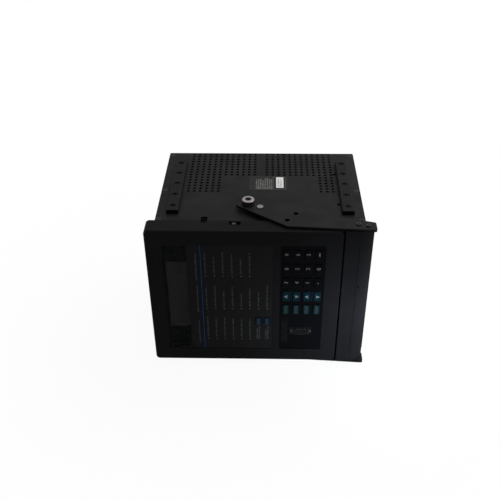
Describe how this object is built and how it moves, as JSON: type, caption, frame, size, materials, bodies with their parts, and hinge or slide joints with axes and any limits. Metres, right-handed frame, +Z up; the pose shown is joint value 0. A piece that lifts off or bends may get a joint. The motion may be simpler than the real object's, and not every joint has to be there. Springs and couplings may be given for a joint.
{
  "type": "protection relay draw-out unit",
  "caption": "Draw-out protection relay on its side: black bezel with display, lamps and keypad, perforated chassis with rails, and a hinged locking handle with cam rollers.",
  "frame": {"origin": "middle of the bounding box in X and Y, at its lowest point, which is the left cam roller's end", "axes": "+X from the relay's top edge to its handle, +Y from the front panel to the rear plugs, +Z up to the relay's right side, as it lies on its left side"},
  "size_m": [0.3044, 0.2378, 0.252],
  "materials": {
    "bezel": "satin moulded plastic",
    "handle": "satin moulded plastic",
    "window": "smoked gloss",
    "display": "grey-green glass",
    "overlay": "fine matt film",
    "lamp": "clear domed plastic",
    "board": "coated board",
    "switch": "moulded plastic",
    "plated": "bright plating",
    "insulator": "moulded plastic",
    "powder": "fine black powder coat",
    "screw": "black finish",
    "rail": "moulded plastic",
    "turned": "turned steel",
    "blade": "plated brass",
    "core": "taped winding",
    "relay_case": "sealed plastic case",
    "key_black": "soft moulded key",
    "key_teal": "soft moulded key"
  },
  "bodies": {
    "unit": {"front_bezel": "bezel", "display_window": "window", "display_module": "display", "status_overlay": "overlay", "status_lamps": "lamp", "keypad_overlay": "overlay", "front_board": "board", "key_switches": "switch", "port_shell": "plated", "port_insert": "insulator", "jack_screws": "plated", "chassis_frame": "powder", "right_cover": "powder", "left_cover": "powder", "cover_screws": "screw", "bezel_screws": "plated", "bezel_clips": "plated", "right_rails": "rail", "left_rails": "rail", "rail_screws": "screw", "signal_plug": "insulator", "power_plug": "insulator", "contact_blades": "blade", "main_board": "board", "input_board": "board", "supply_board": "board", "card_guides": "switch", "current_transformers": "core", "output_relays": "relay_case", "pivot_pins": "turned"},
    "handle": {"handle_bar": "handle", "right_arm": "powder", "left_arm": "powder", "handle_screws": "screw", "roller_pins": "screw"},
    "right_roller": {"right_roller": "turned"},
    "left_roller": {"left_roller": "turned"},
    "locking_latch": {"locking_latch": "turned"},
    "key_num_7": {"key_num_7": "key_black"},
    "key_num_8": {"key_num_8": "key_black"},
    "key_num_9": {"key_num_9": "key_black"},
    "key_num_4": {"key_num_4": "key_black"},
    "key_num_5": {"key_num_5": "key_black"},
    "key_num_6": {"key_num_6": "key_black"},
    "key_num_1": {"key_num_1": "key_black"},
    "key_num_2": {"key_num_2": "key_black"},
    "key_num_3": {"key_num_3": "key_black"},
    "key_point": {"key_point": "key_black"},
    "key_num_0": {"key_num_0": "key_black"},
    "key_help": {"key_help": "key_black"},
    "key_up_1": {"key_up_1": "key_teal"},
    "key_down_1": {"key_down_1": "key_teal"},
    "key_up_2": {"key_up_2": "key_teal"},
    "key_down_2": {"key_down_2": "key_teal"},
    "key_function_1": {"key_function_1": "key_teal"},
    "key_function_2": {"key_function_2": "key_teal"},
    "key_function_3": {"key_function_3": "key_teal"},
    "key_function_4": {"key_function_4": "key_teal"},
    "key_status_1": {"key_status_1": "key_teal"},
    "key_status_2": {"key_status_2": "key_teal"}
  },
  "joints": [
    {"name": "handle_swing", "type": "hinge", "parent": "unit", "child": "handle", "pos_m": [0.00025, -0.0606, 0.126], "axis": [0, 0, -1], "range_deg": [0, 75]},
    {"name": "right_roller_spin", "type": "hinge", "parent": "handle", "child": "right_roller", "pos_m": [-0.01605, -0.0538, 0.2442], "axis": [0, 0, 1], "continuous": true},
    {"name": "left_roller_spin", "type": "hinge", "parent": "handle", "child": "left_roller", "pos_m": [-0.01605, -0.0538, 0.0078], "axis": [0, 0, 1], "continuous": true},
    {"name": "latch_slide", "type": "slide", "parent": "unit", "child": "locking_latch", "axis": [-1, 0, 0], "range_m": [0, 0.003], "stiffness_N_per_m": 400},
    {"name": "key_num_7_press", "type": "slide", "parent": "unit", "child": "key_num_7", "axis": [0, 1, 0], "range_m": [0, 0.0008], "stiffness_N_per_m": 800},
    {"name": "key_num_8_press", "type": "slide", "parent": "unit", "child": "key_num_8", "axis": [0, 1, 0], "range_m": [0, 0.0008], "stiffness_N_per_m": 800},
    {"name": "key_num_9_press", "type": "slide", "parent": "unit", "child": "key_num_9", "axis": [0, 1, 0], "range_m": [0, 0.0008], "stiffness_N_per_m": 800},
    {"name": "key_num_4_press", "type": "slide", "parent": "unit", "child": "key_num_4", "axis": [0, 1, 0], "range_m": [0, 0.0008], "stiffness_N_per_m": 800},
    {"name": "key_num_5_press", "type": "slide", "parent": "unit", "child": "key_num_5", "axis": [0, 1, 0], "range_m": [0, 0.0008], "stiffness_N_per_m": 800},
    {"name": "key_num_6_press", "type": "slide", "parent": "unit", "child": "key_num_6", "axis": [0, 1, 0], "range_m": [0, 0.0008], "stiffness_N_per_m": 800},
    {"name": "key_num_1_press", "type": "slide", "parent": "unit", "child": "key_num_1", "axis": [0, 1, 0], "range_m": [0, 0.0008], "stiffness_N_per_m": 800},
    {"name": "key_num_2_press", "type": "slide", "parent": "unit", "child": "key_num_2", "axis": [0, 1, 0], "range_m": [0, 0.0008], "stiffness_N_per_m": 800},
    {"name": "key_num_3_press", "type": "slide", "parent": "unit", "child": "key_num_3", "axis": [0, 1, 0], "range_m": [0, 0.0008], "stiffness_N_per_m": 800},
    {"name": "key_point_press", "type": "slide", "parent": "unit", "child": "key_point", "axis": [0, 1, 0], "range_m": [0, 0.0008], "stiffness_N_per_m": 800},
    {"name": "key_num_0_press", "type": "slide", "parent": "unit", "child": "key_num_0", "axis": [0, 1, 0], "range_m": [0, 0.0008], "stiffness_N_per_m": 800},
    {"name": "key_help_press", "type": "slide", "parent": "unit", "child": "key_help", "axis": [0, 1, 0], "range_m": [0, 0.0008], "stiffness_N_per_m": 800},
    {"name": "key_up_1_press", "type": "slide", "parent": "unit", "child": "key_up_1", "axis": [0, 1, 0], "range_m": [0, 0.0008], "stiffness_N_per_m": 800},
    {"name": "key_down_1_press", "type": "slide", "parent": "unit", "child": "key_down_1", "axis": [0, 1, 0], "range_m": [0, 0.0008], "stiffness_N_per_m": 800},
    {"name": "key_up_2_press", "type": "slide", "parent": "unit", "child": "key_up_2", "axis": [0, 1, 0], "range_m": [0, 0.0008], "stiffness_N_per_m": 800},
    {"name": "key_down_2_press", "type": "slide", "parent": "unit", "child": "key_down_2", "axis": [0, 1, 0], "range_m": [0, 0.0008], "stiffness_N_per_m": 800},
    {"name": "key_function_1_press", "type": "slide", "parent": "unit", "child": "key_function_1", "axis": [0, 1, 0], "range_m": [0, 0.0008], "stiffness_N_per_m": 800},
    {"name": "key_function_2_press", "type": "slide", "parent": "unit", "child": "key_function_2", "axis": [0, 1, 0], "range_m": [0, 0.0008], "stiffness_N_per_m": 800},
    {"name": "key_function_3_press", "type": "slide", "parent": "unit", "child": "key_function_3", "axis": [0, 1, 0], "range_m": [0, 0.0008], "stiffness_N_per_m": 800},
    {"name": "key_function_4_press", "type": "slide", "parent": "unit", "child": "key_function_4", "axis": [0, 1, 0], "range_m": [0, 0.0008], "stiffness_N_per_m": 800},
    {"name": "key_status_1_press", "type": "slide", "parent": "unit", "child": "key_status_1", "axis": [0, 1, 0], "range_m": [0, 0.0008], "stiffness_N_per_m": 800},
    {"name": "key_status_2_press", "type": "slide", "parent": "unit", "child": "key_status_2", "axis": [0, 1, 0], "range_m": [0, 0.0008], "stiffness_N_per_m": 800}
  ]
}
